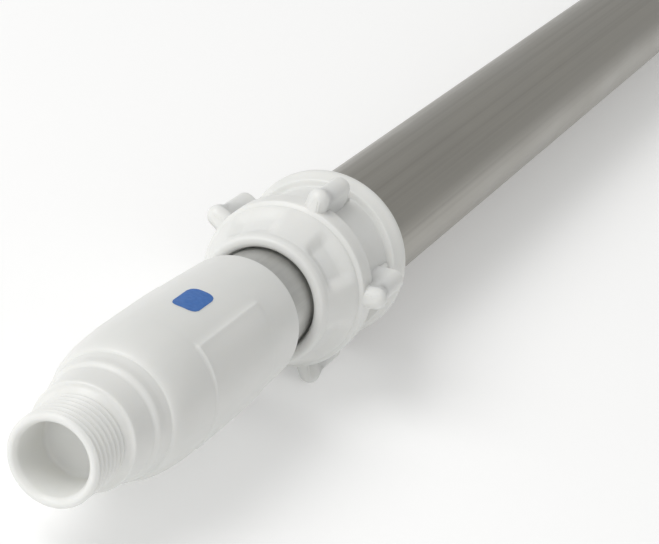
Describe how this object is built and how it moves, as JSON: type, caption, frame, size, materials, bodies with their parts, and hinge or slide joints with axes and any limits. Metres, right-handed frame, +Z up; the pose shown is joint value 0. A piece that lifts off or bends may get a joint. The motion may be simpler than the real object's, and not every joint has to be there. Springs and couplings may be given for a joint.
{
  "type": "telescopic extension pole",
  "caption": "Telescopic aluminium extension pole with a hollow threaded plastic tip, a ribbed twist-lock collar, a ringed grip sleeve and an end cap with a hanging hole.",
  "frame": {"origin": "centre of the threaded tip's front face, on the pole's axis", "axes": "+X along the pole from the threaded tip to the end cap, +Z up as the pole lies on its side"},
  "size_m": [1.305, 0.05, 0.048],
  "materials": {
    "white_plastic": "satin moulded polypropylene",
    "acetal": "smooth acetal",
    "wear_plastic": "smooth low-friction plastic",
    "outer_aluminium": "satin drawn and anodised, with fine lengthwise lines",
    "inner_aluminium": "satin drawn and anodised",
    "rubber": "matt rubber",
    "pale_rubber": "matt natural rubber",
    "rivet_metal": "plain"
  },
  "bodies": {
    "inner_pole": {"thread_tip": "white_plastic", "tip_o_ring": "rubber", "tip_rivets": "rivet_metal", "inner_tube": "inner_aluminium", "rear_bush": "acetal", "bush_rivets": "rivet_metal", "buffer_ring": "rubber"},
    "slide_guide": {"wear_ring_front": "wear_plastic", "wear_ring_rear": "wear_plastic"},
    "outer_pole": {"outer_tube": "outer_aluminium", "collet_body": "acetal", "collet_rivets": "rivet_metal", "grip_sleeve": "white_plastic", "anti_roll_ring": "pale_rubber", "end_cap": "white_plastic", "cap_o_ring": "rubber", "cap_rivets": "rivet_metal"},
    "thrust_ring": {"thrust_ring": "acetal"},
    "lock_collar": {"lock_collar": "white_plastic", "wiper_seal": "pale_rubber"}
  },
  "joints": [
    {"name": "inner_slide", "type": "slide", "parent": "outer_pole", "child": "slide_guide", "axis": [-1, 0, 0], "range_m": [-0.0115, 0.505]},
    {"name": "inner_turn", "type": "hinge", "parent": "slide_guide", "child": "inner_pole", "pos_m": [0.75, 0, 0], "axis": [-1, 0, 0], "continuous": true},
    {"name": "collar_advance", "type": "slide", "parent": "outer_pole", "child": "thrust_ring", "axis": [-1, 0, 0], "range_m": [0, 0.00112]},
    {"name": "collar_turn", "type": "hinge", "parent": "thrust_ring", "child": "lock_collar", "pos_m": [0.125, 0, 0], "axis": [-1, 0, 0], "range_deg": [0, 100]}
  ],
  "couplings": [
    {"joint": "collar_advance", "follows": "collar_turn", "m_per_rad": 0.00063662}
  ]
}
